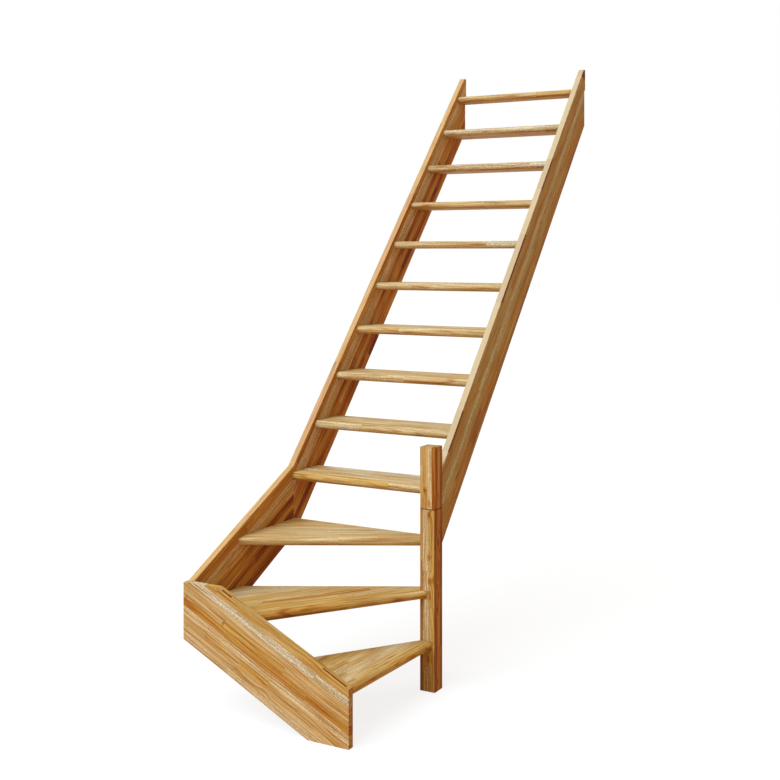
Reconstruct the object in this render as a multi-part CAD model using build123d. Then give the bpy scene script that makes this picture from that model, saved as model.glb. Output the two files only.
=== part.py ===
from build123d import *
from math import atan, cos, hypot, radians, tan
import os

# A quarter turn staircase in hardwood boards, in mm.
# Z is up, the straight flight climbs along Y, and the first step faces X.
# The origin is the centre of the newel post's foot, on the lower floor.

# Driving dimensions. The corner boards are wider than the flight's by a ratio.
rise = 210.0
going = 190.0
step_count = 13
winder_count = 3
clear_width = 700.0
tread_thickness = 37.0
tread_overlap = 20.0
landing_tread_depth = 98.0

stringer_thickness = 30.0
flight_board_width = 215.0
margin_above_nosings = 15.0
corner_board_ratio = 1.302
corner_board_pitch = 26.1
corner_above_second_tread = 96.0
front_end_above_first_tread = 13.0
front_end_past_right_board = 40.0

newel_size = 70.0
newel_height = 1020.0
newel_seam_height = 760.0
newel_lap = 12.0
newel_to_front_face = 664.0
first_nosing_behind_newel = 1.0

housing_depth = 12.0
newel_pocket_depth = 22.0
square_end_past_nosing = 8.0
fit_clearance = 0.3
eased_edge = 2.0
seam_groove = 1.5

horn_lap = 13.0
horn_height = 114.0

screw_head_diameter = 5.0
screw_head_sink = 3.5
screw_shank_diameter = 3.0
corner_screw_heights = (344.0, 458.0)
tread_screw_height = 198.0
tread_screw_from_end = 66.0
wood_left_behind_screw = 1.0

# Setting-out marks of the winders' front edges, on the wall side: the first
# starts just past the right board, the second at a share of the clear width
# and the third along the side board.
winder_one_past_right_board = 18.0
winder_two_ratio = 0.389
winder_three_on_side_board = 297.0

# The same edges' marks on the newel, from its front left corner
winder_one_on_newel = 53.5
winder_two_on_newel = 28.0
winder_three_on_newel = 37.0

# Places derived from them
half_newel = newel_size / 2
right_x = -half_newel + newel_lap
left_x = right_x - clear_width
right_outer_x = right_x + stringer_thickness
left_outer_x = left_x - stringer_thickness
front_y = -half_newel - newel_to_front_face
inner_front_y = front_y + stringer_thickness
front_board_end = right_x + front_end_past_right_board
first_straight_nosing = half_newel + first_nosing_behind_newel
floor_to_floor = step_count * rise
reach = 4000.0


def nosing_y(step):
    """Where the front edge of a straight tread lies."""
    return first_straight_nosing + (step - winder_count - 1) * going


landing_y = nosing_y(step_count) + landing_tread_depth

nosing_lines = {
    1: (
        (right_x + winder_one_past_right_board, inner_front_y),
        (-half_newel + winder_one_on_newel, -half_newel),
    ),
    2: (
        (left_x + winder_two_ratio * clear_width, inner_front_y),
        (-half_newel + winder_two_on_newel, -half_newel),
    ),
    3: (
        (left_x, inner_front_y + winder_three_on_side_board),
        (-half_newel, -half_newel + winder_three_on_newel),
    ),
}
for step in range(winder_count + 1, step_count + 1):
    nosing_lines[step] = ((left_x, nosing_y(step)), (right_x, nosing_y(step)))


def nosing_direction(step):
    """The way a step's front edge runs, from the wall side to the newel."""
    (wall_x, wall_y), (newel_x, newel_y) = nosing_lines[step]
    length = hypot(newel_x - wall_x, newel_y - wall_y)
    return ((newel_x - wall_x) / length, (newel_y - wall_y) / length)


def line_frame(step, height):
    """A plane whose X runs back from a step's nosing and Y runs up."""
    (wall_x, wall_y), _ = nosing_lines[step]
    along = nosing_direction(step)
    back = (-along[1], along[0], 0)
    return Plane(origin=(wall_x, wall_y, height), x_dir=back, z_dir=(*along, 0))


def box(x0, x1, y0, y1, z0, z1):
    """A block between two corners."""
    centre = Pos((x0 + x1) / 2, (y0 + y1) / 2, (z0 + z1) / 2)
    return centre * Box(x1 - x0, y1 - y0, z1 - z0)


def nosed_slab(step, grow):
    """A slab of tread board, its front edge a full half round."""
    radius = tread_thickness / 2
    nose = Pos(radius, -radius) * Circle(radius + grow)
    flat = Pos(radius + reach / 2, -radius) * Rectangle(reach, tread_thickness + 2 * grow)
    return extrude(line_frame(step, step * rise) * (nose + flat), reach, both=True)


def in_front_of(step, overlap):
    """The space in front of a step's nosing and a little way behind it."""
    half = Pos(overlap - reach, 0) * Rectangle(2 * reach, 2 * reach)
    return extrude(line_frame(step, step * rise) * half, reach, both=True)


def solid_of(shape):
    """The one solid that a cut leaves."""
    return max(shape.solids(), key=lambda s: s.volume)


def square_end(step, low, high, grow):
    """The square end of a winder's nosing, let in flush with the newel's front face."""
    along_x, along_y = nosing_direction(step)
    _, (mark, _) = nosing_lines[step]
    back_end = mark + newel_pocket_depth * along_x / along_y
    return box(
        mark - 0.8 * tread_thickness,
        back_end + square_end_past_nosing + grow,
        -half_newel - grow,
        -half_newel + newel_pocket_depth + grow,
        low,
        high,
    )


def tread(step, grow=0.0):
    """A tread, or the cutter of its housing when it is grown by the clearance."""
    slab = nosed_slab(step, grow)
    if step < step_count:
        slab = slab & in_front_of(step + 1, tread_overlap + grow)
    low = step * rise - tread_thickness - grow
    high = step * rise + grow
    wall_x = left_x - housing_depth - grow
    front = inner_front_y - housing_depth - grow
    newel_x = -half_newel + housing_depth + grow
    newel_y = -half_newel + newel_pocket_depth + grow
    if step == 1:
        room = box(wall_x, reach, front, newel_y, low, high)
    elif step == 2:
        room = box(wall_x, reach, front, reach, low, high)
        room -= box(newel_x, reach, newel_y, reach, low, high)
    elif step == winder_count:
        room = box(wall_x, newel_x, front, reach, low, high)
    else:
        back = landing_y if step == step_count else reach
        room = box(wall_x, right_x + housing_depth + grow, front, back, low, high)
    piece = slab & room
    if step < winder_count:
        piece = piece + square_end(step, low, high, grow)
    return solid_of(piece)


treads = {step: tread(step) for step in range(1, step_count + 1)}
housings = [tread(step, fit_clearance) for step in treads]

# Edges of the boards, as heights
flight_pitch = rise / going
flight_plumb_depth = flight_board_width / cos(atan(flight_pitch))
corner_board_width = corner_board_ratio * flight_board_width
corner_pitch = tan(radians(corner_board_pitch))
corner_plumb_depth = corner_board_width / cos(radians(corner_board_pitch))
corner_height = 2 * rise + corner_above_second_tread
front_end_height = rise + front_end_above_first_tread


def flight_top(y):
    """Top edge of a flight board, a margin above the line of the nosings."""
    nosing_height = (winder_count + 1) * rise
    return nosing_height + margin_above_nosings + flight_pitch * (y - first_straight_nosing)


def flight_bottom(y):
    """Bottom edge of a flight board."""
    return flight_top(y) - flight_plumb_depth


def side_top(y):
    """Top edge of the board along the left side of the turn."""
    return corner_height + corner_pitch * (y - inner_front_y)


def side_bottom(y):
    """Bottom edge of the board along the left side of the turn."""
    return side_top(y) - corner_plumb_depth


def front_top(x):
    """Top edge of the front board's sloping part."""
    return front_end_height + corner_pitch * (front_board_end - x)


def front_bottom(x):
    """Bottom edge of the front board."""
    return front_top(x) - corner_plumb_depth


def board_on_side(outline, inner_x, outer_x):
    """A board standing along Y, from an outline of Y and Z."""
    face = Plane.YZ * make_face(Polyline(*outline, close=True))
    board = extrude(face, outer_x - inner_x, dir=(1, 0, 0))
    return Pos(inner_x, 0, 0) * board


def eased(board, thickness_axis):
    """Ease the long sloping edges of a board."""
    sloping = []
    for edge in board.edges():
        way = (edge @ 1 - edge @ 0).normalized()
        if 0.05 < abs(way.Z) < 0.95 and abs(way.dot(thickness_axis)) < 0.05:
            sloping.append(edge)
    return fillet(sloping, eased_edge)


def cut_housings(board):
    """Rout the tread housings into a board or the newel."""
    for housing in housings:
        board = board - housing
    return solid_of(board)


# The upper end of a flight board: a plumb cut up to the upper floor, then a
# horn that laps over the floor and ends level.
joint_y = (side_top(0.0) - flight_top(0.0)) / (flight_pitch - corner_pitch)
horn_top = floor_to_floor + horn_height
horn_y = landing_y + horn_lap
horn_start_y = joint_y + (horn_top - flight_top(joint_y)) / flight_pitch
upper_end = [
    (landing_y, flight_bottom(landing_y)),
    (landing_y, floor_to_floor),
    (horn_y, floor_to_floor),
    (horn_y, horn_top),
    (horn_start_y, horn_top),
]

# The left side is two boards with a plumb joint where their top edges meet.
# At the corner the lower one is cut level with the front board's end.
joint_low = side_bottom(joint_y)
clip_y = joint_y + (joint_low - flight_bottom(joint_y)) / flight_pitch
corner_low = front_bottom(left_outer_x)
level_cut_end = inner_front_y + (corner_low - side_bottom(inner_front_y)) / corner_pitch
side_lower_outline = [
    (inner_front_y, corner_low),
    (level_cut_end, corner_low),
    (joint_y, joint_low),
    (joint_y, side_top(joint_y)),
    (inner_front_y, corner_height),
]
side_upper_outline = [
    (joint_y, joint_low),
    (clip_y, joint_low),
    *upper_end,
    (joint_y, flight_top(joint_y)),
]
right_outline = [
    (half_newel, flight_bottom(half_newel)),
    *upper_end,
    (half_newel, flight_top(half_newel)),
]

sideways = Vector(1, 0, 0)
left_stringer_lower = cut_housings(
    eased(board_on_side(side_lower_outline, left_outer_x, left_x), sideways)
)
left_stringer_upper = cut_housings(
    eased(board_on_side(side_upper_outline, left_outer_x, left_x), sideways)
)
right_stringer = cut_housings(
    eased(board_on_side(right_outline, right_x, right_outer_x), sideways)
)

# The front board has a level top at the corner and stands on the floor.
flat_top_end = front_board_end - (corner_height - front_end_height) / corner_pitch
foot_start = front_board_end + (front_end_height - corner_plumb_depth) / corner_pitch
front_outline = [
    (left_outer_x, corner_low),
    (foot_start, 0),
    (front_board_end, 0),
    (front_board_end, front_end_height),
    (flat_top_end, corner_height),
    (left_outer_x, corner_height),
]
front_face = Plane.XZ * make_face(Polyline(*front_outline, close=True))
front_board = Pos(0, front_y, 0) * extrude(front_face, stringer_thickness, dir=(0, 1, 0))
front_board = cut_housings(eased(front_board, Vector(0, 1, 0)))


def screw_recess(x, z):
    """A recess for a screw's sunk head and the hole of its shank, from the front."""
    depth = screw_head_sink
    shank = stringer_thickness - housing_depth - fit_clearance - wood_left_behind_screw
    hole = Pos(0, 0, -shank / 2) * Cylinder(screw_shank_diameter / 2, shank)
    head = Pos(0, 0, -depth / 2) * Cylinder(screw_head_diameter / 2, depth)
    inward = Plane(origin=(x, front_y, z), x_dir=(1, 0, 0), z_dir=(0, -1, 0))
    return inward * (hole + head)


for height in corner_screw_heights:
    front_board -= screw_recess(left_x - stringer_thickness / 2, height)
front_board -= screw_recess(front_board_end - tread_screw_from_end, tread_screw_height)
front_stringer = solid_of(front_board)


# The newel post is in two lengths with a fine groove at the seam.
newel_lower = box(-half_newel, half_newel, -half_newel, half_newel, 0, newel_seam_height)
newel_lower = fillet(newel_lower.edges().filter_by(Axis.Z), eased_edge)
newel_lower = chamfer(newel_lower.faces().sort_by(Axis.Z)[-1].edges(), seam_groove)
newel_post_lower = cut_housings(newel_lower)

newel_upper = box(
    -half_newel, half_newel, -half_newel, half_newel, newel_seam_height, newel_height
)
newel_upper = fillet(newel_upper.edges().filter_by(Axis.Z), eased_edge)
newel_upper = chamfer(newel_upper.faces().sort_by(Axis.Z)[0].edges(), seam_groove)
newel_upper = chamfer(newel_upper.faces().sort_by(Axis.Z)[-1].edges(), seam_groove)
newel_post_upper = solid_of(newel_upper)

os.makedirs("parts", exist_ok=True)
for step, piece in treads.items():
    export_step(piece, f"parts/tread_{step:02d}.step")
export_step(front_stringer, "parts/front_stringer.step")
export_step(left_stringer_lower, "parts/left_stringer_lower.step")
export_step(left_stringer_upper, "parts/left_stringer_upper.step")
export_step(right_stringer, "parts/right_stringer.step")
export_step(newel_post_lower, "parts/newel_post_lower.step")
export_step(newel_post_upper, "parts/newel_post_upper.step")
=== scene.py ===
"""Dresses the quarter turn staircase: glued hardwood boards, screws, floor, light, camera."""

import logging
import math
from dataclasses import dataclass, field
from enum import Enum

import bpy
from mathutils import Matrix, Vector


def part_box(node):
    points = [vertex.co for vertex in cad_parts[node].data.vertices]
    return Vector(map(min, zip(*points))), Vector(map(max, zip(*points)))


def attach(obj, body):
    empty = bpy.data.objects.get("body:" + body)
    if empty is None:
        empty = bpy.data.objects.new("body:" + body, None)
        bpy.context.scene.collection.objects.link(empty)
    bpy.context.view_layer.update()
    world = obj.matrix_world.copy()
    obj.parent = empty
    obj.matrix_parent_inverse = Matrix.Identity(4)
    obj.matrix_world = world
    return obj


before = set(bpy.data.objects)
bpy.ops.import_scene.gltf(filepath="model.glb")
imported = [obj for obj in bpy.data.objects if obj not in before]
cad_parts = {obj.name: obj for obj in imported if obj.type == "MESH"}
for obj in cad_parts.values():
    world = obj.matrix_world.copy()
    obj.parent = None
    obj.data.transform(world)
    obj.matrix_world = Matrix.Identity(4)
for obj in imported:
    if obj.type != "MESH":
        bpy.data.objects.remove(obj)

log = logging.getLogger("staircase")

Colour = tuple[float, float, float, float]
Point = tuple[float, float, float]
Span = tuple[float, float]
Socket = bpy.types.NodeSocket

MM = 0.001
WHITE: Colour = (1.0, 1.0, 1.0, 1.0)

# The kinds of node that recur
MATH = "ShaderNodeMath"
VECTOR = "ShaderNodeVectorMath"
RANGE = "ShaderNodeMapRange"
MIX = "ShaderNodeMix"
XYZ = "ShaderNodeCombineXYZ"


def linear(hex_colour: str) -> Colour:
    """Turn an sRGB hex colour into linear light, by the sRGB standard's own curve.

    Args:
        hex_colour: Six hex digits, such as "c99a5b".

    Returns:
        Red, green, blue and an alpha of 1.
    """
    parts = [int(hex_colour[i : i + 2], 16) / 255 for i in (0, 2, 4)]
    out = [c / 12.92 if c <= 0.04045 else ((c + 0.055) / 1.055) ** 2.4 for c in parts]
    return (out[0], out[1], out[2], 1.0)


def add(
    tree: bpy.types.NodeTree,
    kind: str,
    inputs: dict | None = None,
    out: int | str | None = 0,
    **settings: object,
) -> object:
    """Add a node with its settings, its fixed inputs and its links.

    Args:
        tree: The node tree to add to.
        kind: The node's type name.
        inputs: Input (name or number) to a socket that feeds it, or to its fixed value.
        out: The output to hand back, or None for the node itself.
        **settings: The node's own properties.

    Returns:
        The output socket asked for, or the node.
    """
    node = tree.nodes.new(kind)
    for key, value in settings.items():
        setattr(node, key, value)
    for key, value in (inputs or {}).items():
        if isinstance(value, Socket):
            tree.links.new(value, node.inputs[key])
        else:
            node.inputs[key].default_value = value
    return node if out is None else node.outputs[out]


def fill_ramp(ramp: bpy.types.ColorRamp, stops: list[tuple[float, Colour]]) -> None:
    """Give a colour ramp its stops.

    Args:
        ramp: The ramp, fresh from its node.
        stops: Each stop's position and linear colour, in rising order.
    """
    while len(ramp.elements) < len(stops):
        ramp.elements.new(0.5)
    for element, (position, colour) in zip(ramp.elements, stops):
        element.position = position
        element.color = colour


class Tone(Enum):
    """Shades of sawn strip that a board maker sorts, as a place on the colour ramp."""

    ASH = 0.0
    STRAW = 0.2
    HONEY = 0.4
    GOLD = 0.55
    AMBER = 0.7
    RUSSET = 0.85
    MAHOGANY = 1.0


class Mark(Enum):
    """Marks on a board, each with the colour that multiplies the wood's own."""

    PORE = "9a6f42"
    GLUE = "8a5a33"
    KNOT = "ddb183"
    END_GRAIN = "c79a68"


@dataclass(frozen=True)
class Figure:
    """A noise that draws a part of the grain: its size along and across it, in mm."""

    along: float
    across: float
    detail: float


@dataclass(frozen=True)
class Cast:
    """How a figure darkens the wood, from the level where it is dark to where it is light.

    A share of None stands for the pale strips' own share.
    """

    dark_at: float
    light_at: float
    share: float | None
    colour: str


# Slow bends of the growth lines, slow changes of shade, long streaks, the flecks of pale
# wood, fibres and pores. Real pores are some 0.2 mm wide and fibres are far finer: both are
# drawn about 1 mm wide, so that they show from where the whole stair is seen.
FIGURES = {
    "sweep": Figure(420.0, 46.0, 1.0),
    "fade": Figure(260.0, 17.0, 1.0),
    "streak": Figure(250.0, 6.0, 2.0),
    "mottle": Figure(9.0, 5.0, 2.0),
    "fibre": Figure(34.0, 1.1, 1.0),
    "pore": Figure(7.0, 0.9, 0.0),
}
CASTS = {
    "streak": Cast(0.38, 0.62, 1.0, "dac7aa"),
    "mottle": Cast(0.40, 0.60, None, "d8d0c4"),
    "fibre": Cast(0.35, 0.65, 0.5, "e8dccb"),
    "rings": Cast(1.0, 0.0, 0.8, "cf9c66"),
}


@dataclass(frozen=True)
class GrainFrame:
    """How a board lies: u runs along its grain, v across its face, w into it.

    The origin is in metres in the part's own frame.
    """

    origin: Point
    along: Point
    across: Point

    def axes(self) -> tuple[Vector, Vector, Vector]:
        """Work out the board's three directions.

        Returns:
            Unit vectors along u, v and w, square to each other.
        """
        u = Vector(self.along).normalized()
        v = Vector(self.across)
        v = (v - u * v.dot(u)).normalized()
        return u, v, u.cross(v)

    def rotation(self) -> Point:
        """The turn from the world's axes to the board's, as Euler angles."""
        return tuple(Matrix(self.axes()).transposed().to_euler())


@dataclass(frozen=True)
class Board:
    """A material's node tree, with the sockets in it of a board's u, v and w, in mm."""

    tree: bpy.types.NodeTree
    u: Socket
    v: Socket
    w: Socket


@dataclass(frozen=True)
class Piece:
    """A length of one strip that was cut from other wood, from start to end in mm.

    It may be a thin layer, from depth to depth_end below the board's face.
    """

    strip: int
    start: float
    end: float
    tone: Tone
    depth: float = -100.0
    depth_end: float = 100.0

    def inside(self, board: Board, strip: Socket) -> Socket:
        """Tell the piece from the rest of the board.

        Args:
            board: The board's axes in the material's tree.
            strip: Socket of the strip's number.

        Returns:
            A socket that is 1 in the piece and 0 elsewhere.
        """
        tree, inside = board.tree, None
        for place, low, high in (
            (board.u, self.start, self.end),
            (strip, self.strip - 0.5, self.strip + 0.5),
            (board.w, self.depth, self.depth_end),
        ):
            band = add(
                tree,
                MATH,
                {0: place, 1: 0.5 * (low + high), 2: 0.5 * (high - low)},
                operation="COMPARE",
            )
            if inside is not None:
                band = add(tree, MATH, {0: inside, 1: band}, operation="MULTIPLY")
            inside = band
        return inside


@dataclass(frozen=True)
class Knot:
    """A small knot: its place along, across and into the board, its radius, and how dark.

    In radii, the spot shows from edge inwards and is full at core, and the growth lines
    bend round it from reach inwards, by push at its centre. Stretch draws it out along
    the grain.
    """

    place: Point
    radius: float
    strength: float = 1.0
    edge: float = 1.5
    core: float = 0.4
    reach: float = 3.2
    push: float = 1.6
    stretch: Point = (0.45, 1.0, 1.0)

    def draw(self, board: Board) -> tuple[Socket, Socket]:
        """Draw the knot.

        Args:
            board: The board's axes in the material's tree.

        Returns:
            The sockets of its brown spot and of how far it pushes the growth lines, in mm.
        """
        tree = board.tree
        away = add(tree, XYZ, {0: board.u, 1: board.v, 2: board.w})
        away = add(tree, VECTOR, {0: away, 1: self.place}, operation="SUBTRACT")
        away = add(tree, VECTOR, {0: away, 1: self.stretch}, operation="MULTIPLY")
        away = add(tree, VECTOR, {0: away}, out="Value", operation="LENGTH")
        spot, halo = (
            add(
                tree,
                RANGE,
                {0: away, 1: start * self.radius, 2: full * self.radius, 4: most},
                interpolation_type="SMOOTHSTEP",
            )
            for start, full, most in (
                (self.edge, self.core, self.strength),
                (self.reach, 0.0, self.push * self.radius),
            )
        )
        return spot, halo


@dataclass(frozen=True)
class GluedHardwood:
    """Rubberwood strips, joined end to end, glued edge to edge, sanded and oiled.

    To the eye it is a golden board of strips some 31 mm wide, each of its own shade. The
    pale strips are flecked and the darker ones carry drawn-out growth lines. The oil has
    soaked in, so the wood is nearly matt.
    """

    name: str
    grain: GrainFrame
    seed: float
    tones: tuple[Tone, ...] = ()
    pieces: tuple[Piece, ...] = ()
    knots: tuple[Knot, ...] = ()
    shades: tuple[str, ...] = (
        "e8e5d1", "e1cfa6", "d3b783", "cda960", "c6964d", "ad7030", "864412"
    )

    # How the board is glued up, in mm. A strip's lengths vary by length_spread about
    # piece_length, and its joints start up to joint_shift lengths along.
    strip_width: float = 31.2
    first_seam: float = 0.0
    ply_depth: float = 0.0
    strips_per_ply: int = 0
    piece_length: float = 620.0
    length_spread: float = 0.5
    joint_shift: float = 9.0
    finger_pitch: float = 7.0
    finger_slope: float = 1.7
    glue_line: float | None = None
    glue_line_half: float = 1.8

    # Seams fade in and are full at these shares of a strip's width or a length
    seam: Span = (0.016, 0.004)
    joint: Span = (0.0016, 0.0006)
    seam_strength: float = 0.4

    # How far a strip's shade strays from its tone, from length to length and within one
    spread: float = 0.12
    drift: float = 0.34

    # Growth lines, some 12 mm apart and swept sideways by up to ring_sweep mm. They show
    # from the first to the second share of that spacing, and come and go with the shade.
    ring_spacing: float = 12.0
    ring_sweep: float = 74.0
    ring: Span = (0.20, 0.49)
    ring_fade: Span = (0.38, 0.66)
    faintest_ring: float = 0.15

    # Flecks show from the first of these tones on, as the wood gets paler, and are full at
    # the second. Pores show between these levels of their noise.
    pale: Span = (0.38, 0.08)
    least_fleck: float = 0.12
    pore: Span = (0.66, 0.74)
    pore_strength: float = 0.5

    # Faces across the grain, and the planed top edge's painted highlight, by how squarely they face
    end_facing: Span = (0.50, 0.75)
    end_share: float = 0.45
    highlight_facing: Span = (0.5, 0.85)
    # The top edge faces up into the lamp and is painted paler: a painted highlight of this share
    # and colour
    painted_edge_highlight: float = 0.0
    edge_highlight_colour: str = "c5ae8a"

    # Gloss and relief, the relief's depth in mm. The specular level is low, so that white
    # surroundings don't grey the faces that are seen at a slant.
    roughness: float = 0.52
    gloss_spread: float = 0.16
    ior: float = 1.48
    specular: float = 0.05
    relief: float = 0.2
    relief_strength: float = 0.2

    # Where in the noise the draws are read, and how rough the noise is
    length_draw: float = 7.0
    figure_shift: float = 60.0
    other_wood: Point = (31.7, 12.3, 5.1)
    noise_roughness: float = 0.55

    def place(self, tree: bpy.types.NodeTree) -> Board:
        """Lay the board's own axes over the Object coordinates.

        Args:
            tree: The material's node tree.

        Returns:
            The board's axes in it.
        """
        turned = add(
            tree,
            "ShaderNodeMapping",
            {
                "Vector": add(tree, "ShaderNodeTexCoord", out="Object"),
                "Location": self.grain.origin,
                "Rotation": self.grain.rotation(),
                "Scale": (MM, MM, MM),
            },
            vector_type="TEXTURE",
        )
        return Board(tree, *add(tree, "ShaderNodeSeparateXYZ", {0: turned}, out=None).outputs)

    def strips(self, board: Board) -> tuple[Socket, Socket, Socket]:
        """Divide the board into strips, plies and joined pieces, each with its shade.

        Args:
            board: The board's axes in the material's tree.

        Returns:
            The sockets of the tone, of where a piece's figure begins, and of the seams.
        """
        tree = board.tree
        scaled = add(
            tree,
            MATH,
            {0: board.v, 1: 1 / self.strip_width, 2: -self.first_seam / self.strip_width},
            operation="MULTIPLY_ADD",
        )
        strip = add(tree, MATH, {0: scaled}, operation="FLOOR")
        across = add(tree, MATH, {0: scaled}, operation="FRACT")
        cell = strip
        if self.ply_depth:
            ply = add(tree, MATH, {0: board.w, 1: self.ply_depth}, operation="DIVIDE")
            ply = add(tree, MATH, {0: ply}, operation="FLOOR")
            cell = add(
                tree,
                MATH,
                {0: ply, 1: float(self.strips_per_ply), 2: strip},
                operation="MULTIPLY_ADD",
            )

        run = self.lengths(board, cell)
        number = add(tree, MATH, {0: run}, operation="FLOOR")
        lengthwise = add(tree, MATH, {0: run}, operation="FRACT")
        own = add(
            tree,
            "ShaderNodeTexWhiteNoise",
            {0: add(tree, XYZ, {0: cell, 1: number, 2: self.seed})},
            out=None,
        )
        tone = own.outputs["Value"]
        start = add(
            tree,
            VECTOR,
            {0: own.outputs["Color"], 1: (self.figure_shift,) * 3},
            operation="MULTIPLY",
        )
        if self.tones:
            tone = self.planned(tree, cell, tone)
        lines = self.seams(tree, across, lengthwise)

        for piece in self.pieces:
            inside = piece.inside(board, strip)
            tone = add(tree, MIX, {0: inside, 2: tone, 3: piece.tone.value}, data_type="FLOAT")
            start = add(
                tree, VECTOR, {0: inside, 1: self.other_wood, 2: start}, operation="MULTIPLY_ADD"
            )
        return tone, start, lines

    def lengths(self, board: Board, cell: Socket) -> Socket:
        """Join each strip from lengths, at staggered places.

        The fingers are cut through the thickness, so that the face shows a straight line
        and the edge a zigzag.

        Args:
            board: The board's axes in the material's tree.
            cell: Socket of the strip's number, counted through all plies.

        Returns:
            The socket of the place along the strip, counted in lengths.
        """
        tree = board.tree
        place = add(tree, XYZ, {0: cell, 1: self.seed, 2: self.length_draw})
        chance = add(tree, "ShaderNodeTexWhiteNoise", {0: place}, out="Color")
        chance = add(tree, "ShaderNodeSeparateColor", {0: chance}, out=None)
        zigzag = add(tree, MATH, {0: board.w, 1: 0.5 * self.finger_pitch}, operation="PINGPONG")
        run = add(
            tree, MATH, {0: zigzag, 1: self.finger_slope, 2: board.u}, operation="MULTIPLY_ADD"
        )
        shortest = (1 - 0.5 * self.length_spread) * self.piece_length
        length = add(
            tree,
            MATH,
            {0: chance.outputs[0], 1: self.length_spread * self.piece_length, 2: shortest},
            operation="MULTIPLY_ADD",
        )
        run = add(tree, MATH, {0: run, 1: length}, operation="DIVIDE")
        return add(
            tree,
            MATH,
            {0: chance.outputs[1], 1: self.joint_shift, 2: run},
            operation="MULTIPLY_ADD",
        )

    def planned(self, tree: bpy.types.NodeTree, cell: Socket, chance: Socket) -> Socket:
        """Give the strips the tones of the plan, over and over, each a little off.

        Args:
            tree: The material's node tree.
            cell: Socket of the strip's number, counted through all plies.
            chance: Socket of a random value for each length.

        Returns:
            The socket of the tone.
        """
        count = len(self.tones)
        middle = add(tree, MATH, {0: cell, 1: 1 / count, 2: 0.5 / count}, operation="MULTIPLY_ADD")
        plan = add(tree, "ShaderNodeValToRGB", {0: middle}, out=None)
        plan.color_ramp.interpolation = "CONSTANT"
        fill_ramp(
            plan.color_ramp,
            [(i / count, (tone.value,) * 3 + (1.0,)) for i, tone in enumerate(self.tones)],
        )
        wander = add(
            tree, MATH, {0: chance, 1: self.spread, 2: -0.5 * self.spread}, operation="MULTIPLY_ADD"
        )
        return add(tree, MATH, {0: plan.outputs[0], 1: wander}, operation="ADD")

    def seams(self, tree: bpy.types.NodeTree, across: Socket, lengthwise: Socket) -> Socket:
        """Draw the glue lines along the strips and at their joints.

        Args:
            tree: The material's node tree.
            across: Socket of the place across the strip, from 0 to 1.
            lengthwise: Socket of the place along the length, from 0 to 1.

        Returns:
            A socket that is 1 on a glue line.
        """
        drawn = []
        for place, (start, full) in ((across, self.seam), (lengthwise, self.joint)):
            edge = add(tree, MATH, {0: place, 1: 0.5}, operation="PINGPONG")
            drawn.append(
                add(tree, RANGE, {0: edge, 1: start, 2: full}, interpolation_type="SMOOTHSTEP")
            )
        return add(tree, MATH, {0: drawn[0], 1: drawn[1]}, operation="MAXIMUM")

    def growth_lines(
        self, tree: bpy.types.NodeTree, figures: dict[str, Socket], pushed: Socket
    ) -> Socket:
        """Draw growth lines, swept by slow noise into long tongues.

        Args:
            tree: The material's node tree.
            figures: The sockets of the noises.
            pushed: Socket of the place across the face, bent round the knots.

        Returns:
            A socket that is 1 on the darkest lines.
        """
        swept = add(
            tree,
            MATH,
            {0: figures["sweep"], 1: self.ring_sweep, 2: pushed},
            operation="MULTIPLY_ADD",
        )
        rings = add(tree, MATH, {0: swept, 1: 1 / self.ring_spacing}, operation="MULTIPLY")
        rings = add(tree, MATH, {0: rings, 1: 0.5}, operation="PINGPONG")
        rings = add(
            tree,
            RANGE,
            {0: rings, 1: self.ring[0], 2: self.ring[1]},
            interpolation_type="SMOOTHSTEP",
        )
        low, high = self.ring_fade
        fade = add(
            tree, RANGE, {0: figures["fade"], 1: low, 2: high, 3: self.faintest_ring, 4: 1.0}
        )
        return add(tree, MATH, {0: rings, 1: fade}, operation="MULTIPLY")

    def shaded(
        self, tree: bpy.types.NodeTree, tone: Socket, figures: dict[str, Socket]
    ) -> Socket:
        """Colour the strips, and cast the figures over them.

        Args:
            tree: The material's node tree.
            tone: Socket of the strip's tone.
            figures: The sockets of the noises and of the growth lines.

        Returns:
            The socket of the colour.
        """
        # The slow figure moves a strip's shade a little along it
        drift = add(
            tree,
            MATH,
            {0: figures["fade"], 1: self.drift, 2: -0.5 * self.drift},
            operation="MULTIPLY_ADD",
        )
        place = add(tree, MATH, {0: tone, 1: drift}, operation="ADD")
        colours = add(tree, "ShaderNodeValToRGB", {0: place}, out=None)
        positions = sorted(t.value for t in Tone)
        fill_ramp(colours.color_ramp, list(zip(positions, map(linear, self.shades))))
        tint = colours.outputs[0]

        start, full = self.pale
        pale = add(tree, RANGE, {0: tone, 1: start, 2: full, 3: self.least_fleck, 4: 1.0})
        for name, cast in CASTS.items():
            level = add(tree, RANGE, {0: figures[name], 1: cast.dark_at, 2: cast.light_at})
            colour = add(
                tree, MIX, {0: level, 6: linear(cast.colour), 7: WHITE}, out=2, data_type="RGBA"
            )
            tint = add(
                tree,
                MIX,
                {0: pale if cast.share is None else cast.share, 6: tint, 7: colour},
                out=2,
                data_type="RGBA",
                blend_type="MULTIPLY",
            )
        return tint

    def marked(
        self, board: Board, tint: Socket, lines: Socket, pores: Socket, spots: Socket | None
    ) -> Socket:
        """Add pores, glue lines, knots, end grain and a painted highlight on the top edge.

        Args:
            board: The board's axes in the material's tree.
            tint: Socket of the colour so far.
            lines: Socket of the glue lines.
            pores: Socket of the noise that draws the pores.
            spots: Socket of the knots' spots, or None where there are no knots.

        Returns:
            The socket of the colour.
        """
        tree = board.tree
        low, high = self.pore
        pores = add(
            tree,
            RANGE,
            {0: pores, 1: low, 2: high, 4: self.pore_strength},
            interpolation_type="SMOOTHSTEP",
        )
        lines = add(tree, MATH, {0: lines, 1: self.seam_strength}, operation="MULTIPLY")
        marks = [(pores, Mark.PORE), (lines, Mark.GLUE)]
        if spots is not None:
            marks.append((spots, Mark.KNOT))
        if self.glue_line is not None:
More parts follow.
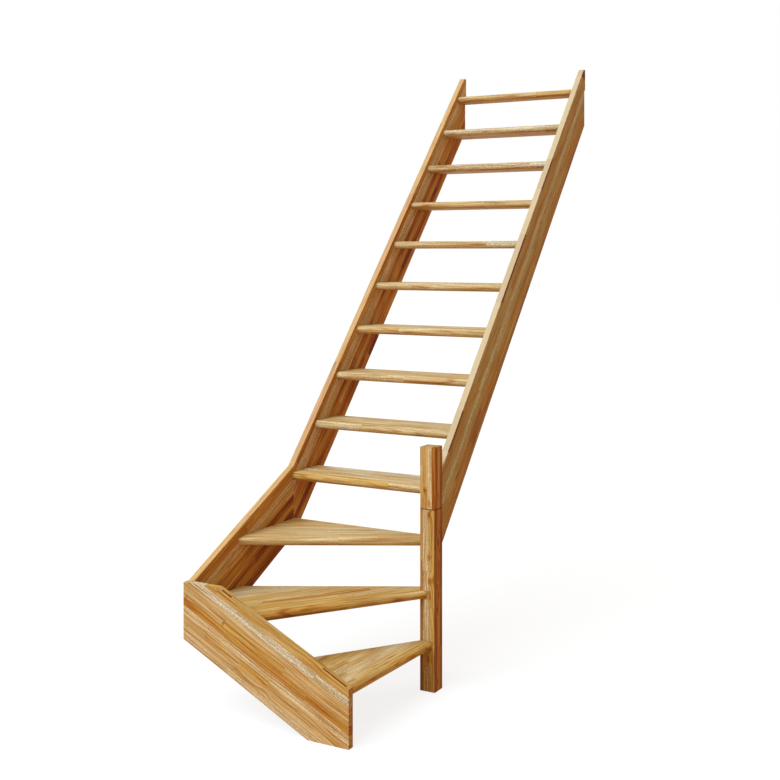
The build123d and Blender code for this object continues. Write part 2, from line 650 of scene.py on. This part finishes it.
            # Oil and dust darken the eased edges where two lengths meet
            near = add(
                tree,
                MATH,
                {0: board.u, 1: self.glue_line, 2: self.glue_line_half},
                operation="COMPARE",
            )
            marks.append((near, Mark.GLUE))

        # Faces cut square to the grain are end grain, darker and full of pores, and the
        # planed top edge of a stringer, which faces up into the lamp, gets a painted highlight
        normal = add(tree, "ShaderNodeTexCoord", out="Normal")
        along, across, _ = self.grain.axes()
        on_end = add(
            tree, VECTOR, {0: normal, 1: tuple(along)}, out="Value", operation="DOT_PRODUCT"
        )
        on_end = add(tree, MATH, {0: on_end}, operation="ABSOLUTE")
        low, high = self.end_facing
        on_end = add(tree, RANGE, {0: on_end, 1: low, 2: high, 4: self.end_share})
        marks.append((on_end, Mark.END_GRAIN))
        for share, mark in marks:
            tint = add(
                tree,
                MIX,
                {0: share, 6: tint, 7: linear(mark.value)},
                out=2,
                data_type="RGBA",
                blend_type="MULTIPLY",
            )
        # Painted highlight: the top edges, which face up into the lamp, are mixed toward pale
        if self.painted_edge_highlight:
            edge_highlight_share = add(
                tree, VECTOR, {0: normal, 1: tuple(-across)}, out="Value", operation="DOT_PRODUCT"
            )
            low, high = self.highlight_facing
            edge_highlight_share = add(tree, RANGE, {0: edge_highlight_share, 1: low, 2: high, 4: self.painted_edge_highlight})
            tint = add(
                tree, MIX, {0: edge_highlight_share, 6: tint, 7: linear(self.edge_highlight_colour)}, out=2, data_type="RGBA"
            )
        return tint

    def material(self) -> bpy.types.Material:
        """Build the board's material.

        Returns:
            A procedural material that reads Object coordinates.
        """
        made = bpy.data.materials.new(self.name)
        made.use_nodes = True
        tree = made.node_tree
        tree.nodes.clear()
        board = self.place(tree)
        tone, start, lines = self.strips(board)

        # Knots push the growth lines aside and stay as small brown spots
        pushed, spots = board.v, None
        for knot in self.knots:
            spot, halo = knot.draw(board)
            pushed = add(tree, MATH, {0: pushed, 1: halo}, operation="ADD")
            if spots is not None:
                spot = add(tree, MATH, {0: spots, 1: spot}, operation="MAXIMUM")
            spots = spot

        figures = {}
        for name, figure in FIGURES.items():
            where = add(tree, XYZ, {0: board.u, 1: pushed, 2: board.w})
            scale = (1 / figure.along, 1 / figure.across, 1 / figure.across)
            where = add(tree, VECTOR, {0: where, 1: scale, 2: start}, operation="MULTIPLY_ADD")
            figures[name] = add(
                tree,
                "ShaderNodeTexNoise",
                {
                    "Vector": where,
                    "Scale": 1.0,
                    "Detail": figure.detail,
                    "Roughness": self.noise_roughness,
                },
            )
        figures["rings"] = self.growth_lines(tree, figures, pushed)

        tint = self.shaded(tree, tone, figures)
        tint = self.marked(board, tint, lines, figures["pore"], spots)
        gloss = add(
            tree,
            MATH,
            {
                0: figures["fibre"],
                1: self.gloss_spread,
                2: self.roughness - 0.5 * self.gloss_spread,
            },
            operation="MULTIPLY_ADD",
        )
        # Fibres stand up, glue lines lie low
        height = add(tree, MATH, {0: lines, 1: -1.0, 2: figures["fibre"]}, operation="MULTIPLY_ADD")
        bump = add(
            tree,
            "ShaderNodeBump",
            {"Height": height, "Strength": self.relief_strength, "Distance": self.relief * MM},
        )
        surface = add(
            tree,
            "ShaderNodeBsdfPrincipled",
            {
                "Base Color": tint,
                "Roughness": gloss,
                "Normal": bump,
                "IOR": self.ior,
                "Specular IOR Level": self.specular,
            },
        )
        add(tree, "ShaderNodeOutputMaterial", {"Surface": surface}, out=None)
        return made


def dress(node: str, finish: GluedHardwood) -> None:
    """Give a CAD piece its finish.

    Args:
        node: The piece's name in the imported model.
        finish: The board it is cut from.
    """
    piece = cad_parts[node]
    made = finish.material()
    for slot in piece.material_slots:
        slot.material = made
    log.info("%s: %s, %d faces", node, finish.name, len(piece.data.polygons))


@dataclass
class Treads:
    """The thirteen treads: three winders round the newel, ten across the flight.

    A winder's strips run along its nosing, in the direction that winder_grain gives on
    plan. Each tread starts its order of tones at one of three strips, and its first seam
    at one of four places.
    """

    count: int = 13
    winder_grain: dict[int, tuple[float, float]] = field(
        default_factory=lambda: {1: (0.037, 1.0), 2: (0.577, 0.817), 3: (0.879, 0.477)}
    )
    pale_winders: tuple[int, ...] = (1, 2)
    tone_starts: int = 3
    seam_starts: int = 4
    first_seam: float = -6.0
    seam_step: float = -5.0
    first_seed: float = 3.0
    seed_step: float = 1.7

    def finish(self, step: int) -> GluedHardwood:
        """The board that a tread is cut from, its strips along the nosing.

        Args:
            step: The tread's number from the floor.

        Returns:
            The tread's finish.
        """
        name = f"tread_{step:02d}"
        low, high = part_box(name)
        x, y = self.winder_grain.get(step, (1.0, 0.0))
        if step in self.winder_grain:
            palest = Tone.ASH if step in self.pale_winders else Tone.HONEY
            tones = (Tone.STRAW, Tone.HONEY, Tone.GOLD, Tone.STRAW, Tone.HONEY, palest)
        else:
            tones = (Tone.STRAW, Tone.HONEY, Tone.STRAW, Tone.GOLD, Tone.STRAW, Tone.HONEY)
        first = step % self.tone_starts
        return GluedHardwood(
            f"edge_glued_rubberwood_{name}",
            GrainFrame((low[0], low[1], high[2]), (x, y, 0.0), (-y, x, 0.0)),
            seed=self.first_seed + self.seed_step * step,
            first_seam=self.first_seam + self.seam_step * (step % self.seam_starts),
            tones=tones[first:] + tones[:first],
            spread=0.3,
            drift=0.44,
        )

    def build(self) -> None:
        """Dress every tread."""
        for step in range(1, self.count + 1):
            dress(f"tread_{step:02d}", self.finish(step))


@dataclass
class Stringers:
    """The boards that house the treads: front, left in two lengths, and right.

    The points are where each board's frame starts, in metres: the front board's lower
    end, the turn board's top at the front, and the height at which the flight's boards
    pass flight_top_y.
    """

    flight_slope: float = 210 / 190
    corner_slope: float = math.tan(math.radians(26.1))
    front_end: Point = (0.017, -0.699, 0.223)
    corner_top: Point = (-0.723, -0.669, 0.516)
    flight_top_y: float = 0.036
    flight_top_z: float = 0.855
    right_face_x: float = 0.007
    redder_shades: tuple[str, ...] = (
        "f2e6d0", "eccea6", "dfb981", "d9a95d", "d2994f", "b87231", "8c4616"
    )
    greyer_shades: tuple[str, ...] = (
        "dfe6d4", "d0c9a4", "c3b387", "c4a161", "bb9050", "a66d32", "7e4010"
    )

    def build(self) -> None:
        """Dress the four boards, each with its strips along its slope."""
        self.front()
        self.turn()
        self.flight_left()
        self.flight_right()

    def flight_grain(self, face_x: float) -> GrainFrame:
        """Lay a frame along one of the flight's boards.

        Args:
            face_x: Where the board's strips are seen, across the stair.

        Returns:
            The board's frame, with its strips parallel to the flight.
        """
        return GrainFrame(
            (face_x, self.flight_top_y, self.flight_top_z),
            (0.0, 1.0, self.flight_slope),
            (0.0, self.flight_slope, -1.0),
        )

    def front(self) -> None:
        """The front board, its strips falling to the right."""
        slope = self.corner_slope
        dress(
            "front_stringer",
            GluedHardwood(
                "edge_glued_rubberwood_front",
                GrainFrame(self.front_end, (1.0, 0.0, -slope), (-slope, 0.0, -1.0)),
                seed=11.0,
                first_seam=-0.8,
                tones=(Tone.GOLD, Tone.ASH, Tone.HONEY, Tone.HONEY, Tone.AMBER)
                + (Tone.STRAW, Tone.HONEY, Tone.HONEY, Tone.STRAW),
                pieces=(
                    Piece(3, -590.0, -267.0, Tone.GOLD),
                    Piece(4, -143.0, 40.0, Tone.AMBER),
                    Piece(6, -453.0, -304.0, Tone.GOLD),
                    Piece(0, -648.0, -597.0, Tone.MAHOGANY, 1.0, 11.0),
                    Piece(0, -130.0, -14.0, Tone.MAHOGANY, 1.0, 11.0),
                ),
                knots=(
                    Knot((-455.0, 236.0, 0.0), 6.0, 0.4),
                    Knot((-308.0, 234.0, 0.0), 7.0, 0.4),
                ),
                piece_length=950.0,
                spread=0.06,
            ),
        )

    def turn(self) -> None:
        """The lower left board, along the side of the turn."""
        slope = self.corner_slope
        dress(
            "left_stringer_lower",
            GluedHardwood(
                "edge_glued_rubberwood_turn",
                GrainFrame(self.corner_top, (0.0, 1.0, slope), (0.0, slope, -1.0)),
                seed=23.0,
                first_seam=-12.0,
                tones=(Tone.GOLD, Tone.AMBER, Tone.STRAW, Tone.HONEY, Tone.RUSSET)
                + (Tone.GOLD, Tone.RUSSET, Tone.AMBER, Tone.RUSSET),
                shades=self.redder_shades,
                spread=0.2,
                drift=0.6,
                # Painted highlight on the top edge, which faces up into the lamp
                painted_edge_highlight=0.3,
            ),
        )

    def flight_left(self) -> None:
        """The upper left board, along the flight."""
        dress(
            "left_stringer_upper",
            GluedHardwood(
                "edge_glued_rubberwood_flight_left",
                self.flight_grain(self.corner_top[0]),
                seed=31.0,
                first_seam=-1.0,
                tones=(Tone.AMBER, Tone.ASH, Tone.STRAW, Tone.AMBER, Tone.GOLD)
                + (Tone.RUSSET, Tone.GOLD),
                shades=self.redder_shades,
                pieces=(Piece(6, 809.0, 934.0, Tone.MAHOGANY),),
                spread=0.3,
                drift=0.6,
                # Painted highlight on the top edge, which faces up into the lamp
                painted_edge_highlight=0.45,
            ),
        )

    def flight_right(self) -> None:
        """The right board, with dark lengths in the strips along its top."""
        dress(
            "right_stringer",
            GluedHardwood(
                "edge_glued_rubberwood_flight_right",
                self.flight_grain(self.right_face_x),
                seed=43.0,
                first_seam=-19.0,
                tones=(Tone.STRAW, Tone.HONEY, Tone.GOLD, Tone.ASH, Tone.HONEY)
                + (Tone.GOLD, Tone.GOLD, Tone.AMBER),
                shades=self.greyer_shades,
                pieces=(
                    Piece(0, 165.0, 381.0, Tone.MAHOGANY),
                    Piece(0, 1000.0, 1443.0, Tone.MAHOGANY),
                    Piece(0, 1756.0, 1976.0, Tone.MAHOGANY),
                    Piece(0, 2630.0, 2740.0, Tone.MAHOGANY),
                    Piece(1, 2640.0, 2740.0, Tone.MAHOGANY),
                    Piece(5, 319.0, 496.0, Tone.AMBER),
                ),
                spread=0.2,
                # Painted highlight on the top edge, which faces up into the lamp
                painted_edge_highlight=0.85,
            ),
        )


@dataclass
class Newel:
    """The newel post, glued up three strips deep and joined from two lengths."""

    ply_depth: float = 23.5
    strips_per_ply: int = 4
    seam_height: float = 760.0
    spread: float = 0.08

    def build(self) -> None:
        """Dress both lengths of the post."""
        low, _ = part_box("newel_post_lower")
        # The first ply starts just outside the front face, so that the face lies in it
        corner = (low[0], low[1] - 0.5 * MM, low[2])
        grain = GrainFrame(corner, (0.0, 0.0, 1.0), (1.0, 0.0, 0.0))
        dress(
            "newel_post_lower",
            GluedHardwood(
                "glued_rubberwood_newel_lower",
                grain,
                seed=5.0,
                strip_width=27.0,
                first_seam=-14.0,
                ply_depth=self.ply_depth,
                strips_per_ply=self.strips_per_ply,
                tones=(Tone.AMBER, Tone.STRAW, Tone.GOLD, Tone.RUSSET)
                + (Tone.GOLD, Tone.HONEY, Tone.STRAW, Tone.AMBER)
                + (Tone.HONEY, Tone.GOLD, Tone.STRAW, Tone.RUSSET),
                pieces=(Piece(3, 592.0, 702.0, Tone.MAHOGANY, -1.0, 5.0),),
                knots=(
                    Knot((133.0, 39.0, 0.0), 7.0),
                    Knot((461.0, 44.0, 0.0), 8.0),
                    Knot((560.0, 42.0, 0.0), 6.0),
                    Knot((738.0, 40.0, 0.0), 7.0),
                    Knot((43.0, 70.0, 25.0), 7.0),
                    Knot((341.0, 70.0, 25.0), 7.0),
                    Knot((436.0, 70.0, 25.0), 6.0),
                    Knot((623.0, 70.0, 32.0), 9.0),
                ),
                spread=self.spread,
                glue_line=self.seam_height,
            ),
        )
        dress(
            "newel_post_upper",
            GluedHardwood(
                "glued_rubberwood_newel_upper",
                grain,
                seed=8.0,
                strip_width=21.0,
                first_seam=-8.0,
                ply_depth=self.ply_depth,
                strips_per_ply=self.strips_per_ply,
                tones=(Tone.HONEY, Tone.GOLD, Tone.STRAW, Tone.RUSSET)
                + (Tone.GOLD, Tone.STRAW, Tone.HONEY, Tone.GOLD)
                + (Tone.AMBER, Tone.HONEY, Tone.GOLD, Tone.RUSSET),
                knots=(Knot((787.0, 42.0, 0.0), 8.0), Knot((841.0, 21.0, 0.0), 6.0)),
                spread=self.spread,
                glue_line=self.seam_height,
            ),
        )


@dataclass(frozen=True)
class PhosphatedSteel:
    """Steel screws, phosphated black: dull, nearly black heads in small sunk holes."""

    name: str = "phosphated_steel"
    colour: str = "1c1a18"
    darkest: str = "100f0e"
    roughness: float = 0.75
    roughness_spread: float = 0.2
    specular: float = 0.15
    crystal: float = 0.2
    detail: float = 2.0

    def material(self) -> bpy.types.Material:
        """Build the screws' material.

        Returns:
            A procedural material that reads Object coordinates.
        """
        made = bpy.data.materials.new(self.name)
        made.use_nodes = True
        tree = made.node_tree
        tree.nodes.clear()
        # Crystals of some 0.2 mm leave the coat a little uneven
        coat = add(
            tree,
            "ShaderNodeTexNoise",
            {
                "Vector": add(tree, "ShaderNodeTexCoord", out="Object"),
                "Scale": 1 / (self.crystal * MM),
                "Detail": self.detail,
            },
        )
        rough = add(
            tree,
            MATH,
            {
                0: coat,
                1: self.roughness_spread,
                2: self.roughness - 0.5 * self.roughness_spread,
            },
            operation="MULTIPLY_ADD",
        )
        tint = add(
            tree,
            MIX,
            {0: coat, 6: linear(self.darkest), 7: linear(self.colour)},
            out=2,
            data_type="RGBA",
        )
        surface = add(
            tree,
            "ShaderNodeBsdfPrincipled",
            {"Base Color": tint, "Roughness": rough, "Specular IOR Level": self.specular},
        )
        add(tree, "ShaderNodeOutputMaterial", {"Surface": surface}, out=None)
        return made


@dataclass
class WoodScrews:
    """Three countersunk screws, sunk just below the front board's outer face."""

    places: tuple[tuple[float, float], ...] = ((-0.738, 0.344), (-0.738, 0.458), (-0.049, 0.198))
    face_y: float = -0.699
    sunk: float = 0.5 * MM
    sizes: dict[str, float] = field(
        default_factory=lambda: {
            "Head Diameter": 4.8 * MM,
            "Head Height": 3.0 * MM,
            "Shank Diameter": 2.6 * MM,
            "Shank Length": 5.0 * MM,
            "Slot Width": 0.7 * MM,
            "Slot Length": 2.6 * MM,
            "Slot Depth": 1.1 * MM,
        }
    )
    head_sides: int = 32
    shank_sides: int = 24
    seed: int = 4

    def tree(self, finish: bpy.types.Material) -> bpy.types.NodeTree:
        """Write the rule for a screw: a countersunk head with a cross recess, and a shank.

        Args:
            finish: The screws' material.

        Returns:
            A geometry node tree that sets one screw on each vertex, facing -Y.
        """
        tree = bpy.data.node_groups.new("countersunk_screws", "GeometryNodeTree")
        face = tree.interface
        face.new_socket("Geometry", in_out="OUTPUT", socket_type="NodeSocketGeometry")
        face.new_socket("Geometry", in_out="INPUT", socket_type="NodeSocketGeometry")
        for name in self.sizes:
            face.new_socket(name, in_out="INPUT", socket_type="NodeSocketFloat")
        face.new_socket("Seed", in_out="INPUT", socket_type="NodeSocketInt")
        given = add(tree, "NodeGroupInput", out=None).outputs

        head_radius, shank_radius, half_height, half_shank = (
            add(tree, MATH, {0: given[name], 1: 0.5}, operation="MULTIPLY")
            for name in ("Head Diameter", "Shank Diameter", "Head Height", "Shank Length")
        )
        head = add(
            tree,
            "GeometryNodeMeshCone",
            {
                "Vertices": self.head_sides,
                "Radius Top": head_radius,
                "Radius Bottom": shank_radius,
                "Depth": given["Head Height"],
            },
        )
        shank = add(
            tree,
            "GeometryNodeMeshCylinder",
            {
                "Vertices": self.shank_sides,
                "Radius": shank_radius,
                "Depth": given["Shank Length"],
            },
        )
        drop = add(tree, MATH, {0: half_shank, 1: -1.0}, operation="MULTIPLY")
        drop = add(tree, XYZ, {2: drop})
        shank = add(tree, "GeometryNodeTransform", {"Geometry": shank, "Translation": drop})

        # Two crossed bars, raised so that they reach a slot's depth into the head
        for across, along in (("Slot Width", "Slot Length"), ("Slot Length", "Slot Width")):
            size = add(tree, XYZ, {0: given[across], 1: given[along], 2: given["Head Height"]})
            bar = add(tree, "GeometryNodeMeshCube", {"Size": size})
            lift = add(
                tree, MATH, {0: given["Head Height"], 1: given["Slot Depth"]}, operation="SUBTRACT"
            )
            lift = add(tree, MATH, {0: lift, 1: half_height}, operation="ADD")
            lift = add(tree, XYZ, {2: lift})
            bar = add(tree, "GeometryNodeTransform", {"Geometry": bar, "Translation": lift})
            head = add(
                tree,
                "GeometryNodeMeshBoolean",
                {"Mesh 1": head, "Mesh 2": bar},
                operation="DIFFERENCE",
            )
        screw = add(tree, "GeometryNodeJoinGeometry", out=None)
        for part in (head, shank):
            tree.links.new(part, screw.inputs[0])

        # Each screw was driven home at its own angle
        spin = add(
            tree,
            "FunctionNodeRandomValue",
            {"Min": 0.0, "Max": math.pi / 2, "Seed": given["Seed"]},
            out="Value",
            data_type="FLOAT",
        )
        turn = add(tree, XYZ, {0: math.pi / 2, 1: spin})
        placed = add(
            tree,
            "GeometryNodeInstanceOnPoints",
            {
                "Points": given["Geometry"],
                "Instance": screw.outputs[0],
                "Rotation": add(tree, "FunctionNodeEulerToRotation", {0: turn}),
            },
        )
        placed = add(tree, "GeometryNodeRealizeInstances", {"Geometry": placed})
        placed = add(tree, "GeometryNodeSetMaterial", {"Geometry": placed, "Material": finish})
        add(tree, "NodeGroupOutput", {0: placed}, out=None)
        return tree

    def build(self) -> None:
        """Set the three screws and make them one plain mesh."""
        back = self.face_y + self.sunk + self.sizes["Head Height"]
        points = bpy.data.meshes.new("screw_places")
        points.from_pydata([(x, back, z) for x, z in self.places], [], [])
        holder = bpy.data.objects.new("screw_places", points)
        bpy.context.collection.objects.link(holder)
        tree = self.tree(PhosphatedSteel().material())
        rule = holder.modifiers.new("countersunk_screws", "NODES")
        rule.node_group = tree
        values = {**self.sizes, "Seed": self.seed}
        for item in tree.interface.items_tree:
            if item.in_out == "INPUT" and item.name in values:
                rule[item.identifier] = values[item.name]
        ready = holder.evaluated_get(bpy.context.evaluated_depsgraph_get())
        mesh = bpy.data.meshes.new_from_object(ready)
        mesh.name = "front_board_screws"
        holder.modifiers.remove(rule)
        bpy.data.objects.remove(holder)
        screws = bpy.data.objects.new("front_board_screws", mesh)
        bpy.context.collection.objects.link(screws)
        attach(screws, "root")
        log.info("front_board_screws: %d faces", len(mesh.polygons))


@dataclass
class Studio:
    """Floor, lights and camera: a pale floor, soft front light, the photograph's view.

    The floor's own shade keeps the shadow and its glow lifts it to white. Rays that only
    carry light see bounce_shade instead. The cool lamp balances the warm world.
    """

    camera_at: Point = (2.29935, -4.48421, 1.83123)
    camera_yaw: float = 29.115
    focal_pixels: float = 1199.63
    horizon_row: float = 252.76
    picture_pixels: float = 780.0
    sensor: float = 36.0
    far_clip: float = 200.0

    floor_reach: float = 40.0
    floor_shade: str = "737373"
    floor_glow: float = 0.83
    bounce_shade: str = "cb955f"

    side_light: Colour = (0.48, 0.335, 0.125, 1.0)
    top_light: Colour = (0.66, 0.56, 0.42, 1.0)
    top_from: Span = (0.25, 0.85)

    key_energy: float = 4.1
    key_angle: float = 50.0
    key_colour: Point = (0.65, 0.83, 1.0)
    key_towards: Point = (0.211, 0.607, -0.766)

    def shows_background(self, tree: bpy.types.NodeTree) -> Socket:
        """Tell rays that look, mirror or pass through from those that only carry light.

        Args:
            tree: The node tree of the floor or the world.

        Returns:
            A socket that is 1 for the rays that see the white background.
        """
        rays = add(tree, "ShaderNodeLightPath", out=None)
        seen = rays.outputs["Is Camera Ray"]
        for kind in ("Is Glossy Ray", "Is Transmission Ray"):
            seen = add(tree, MATH, {0: seen, 1: rays.outputs[kind]}, operation="MAXIMUM")
        return seen

    def floor(self) -> None:
        """Lay a wide pale floor that looks white and keeps a soft shadow."""
        mesh = bpy.data.meshes.new("studio_floor")
        far = self.floor_reach
        corners = [(-far, -far, 0), (far, -far, 0), (far, far, 0), (-far, far, 0)]
        mesh.from_pydata(corners, [], [(0, 1, 2, 3)])
        floor = bpy.data.objects.new("studio_floor", mesh)
        bpy.context.collection.objects.link(floor)
        made = bpy.data.materials.new("matt_white_floor")
        made.use_nodes = True
        tree = made.node_tree
        tree.nodes.clear()
        white = add(tree, "ShaderNodeBsdfDiffuse", {"Color": linear(self.floor_shade)})
        glow = add(tree, "ShaderNodeEmission", {"Color": WHITE, "Strength": self.floor_glow})
        bright = add(tree, "ShaderNodeAddShader", {0: white, 1: glow})
        dull = add(tree, "ShaderNodeBsdfDiffuse", {"Color": linear(self.bounce_shade)})
        seen = self.shows_background(tree)
        mix = add(tree, "ShaderNodeMixShader", {0: seen, 1: dull, 2: bright})
        add(tree, "ShaderNodeOutputMaterial", {"Surface": mix}, out=None)
        floor.data.materials.append(made)

    def world(self) -> None:
        """Warm light from the sides, a milder one from above, and white to the camera."""
        world = bpy.data.worlds.new("studio_world")
        bpy.context.scene.world = world
        world.use_nodes = True
        tree = world.node_tree
        tree.nodes.clear()
        way = add(tree, "ShaderNodeTexCoord", out="Generated")
        height = add(tree, "ShaderNodeSeparateXYZ", {0: way}, out=2)
        low, high = self.top_from
        rising = add(tree, RANGE, {0: height, 1: low, 2: high}, interpolation_type="SMOOTHSTEP")
        sky = add(
            tree, MIX, {0: rising, 6: self.side_light, 7: self.top_light}, out=2, data_type="RGBA"
        )
        around = add(tree, "ShaderNodeBackground", {"Color": sky, "Strength": 1.0})
        behind = add(tree, "ShaderNodeBackground", {"Color": WHITE, "Strength": 1.0})
        seen = self.shows_background(tree)
        mix = add(tree, "ShaderNodeMixShader", {0: seen, 1: around, 2: behind})
        add(tree, "ShaderNodeOutputWorld", {"Surface": mix}, out=None)

    def key(self) -> None:
        """One large soft lamp, high at the front left."""
        lamp = bpy.data.lights.new("key_lamp", "SUN")
        lamp.energy = self.key_energy
        lamp.angle = math.radians(self.key_angle)
        lamp.color = self.key_colour
        holder = bpy.data.objects.new("key_lamp", lamp)
        holder.rotation_euler = Vector(self.key_towards).to_track_quat("-Z", "Y").to_euler()
        bpy.context.collection.objects.link(holder)

    def camera(self) -> None:
        """Set the camera level, with the lens shifted down as in the photograph."""
        data = bpy.data.cameras.new("camera")
        data.sensor_width = self.sensor
        data.lens = self.focal_pixels / self.picture_pixels * self.sensor
        data.shift_y = -(self.picture_pixels / 2 - self.horizon_row) / self.picture_pixels
        data.clip_end = self.far_clip
        holder = bpy.data.objects.new("camera", data)
        holder.location = self.camera_at
        holder.rotation_euler = (math.radians(90), 0, math.radians(self.camera_yaw))
        bpy.context.collection.objects.link(holder)
        bpy.context.scene.camera = holder

    def build(self) -> None:
        """Set up the whole studio."""
        self.floor()
        self.world()
        self.key()
        self.camera()
        bpy.context.scene.view_settings.view_transform = "Standard"
        log.info("studio: floor, world, key lamp and camera")


def main() -> None:
    """Dress the staircase and set up the studio."""
    logging.basicConfig(level=logging.INFO, format="%(name)s: %(message)s")
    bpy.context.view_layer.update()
    Treads().build()
    Stringers().build()
    Newel().build()
    WoodScrews().build()
    Studio().build()


if __name__ == "__main__":
    main()
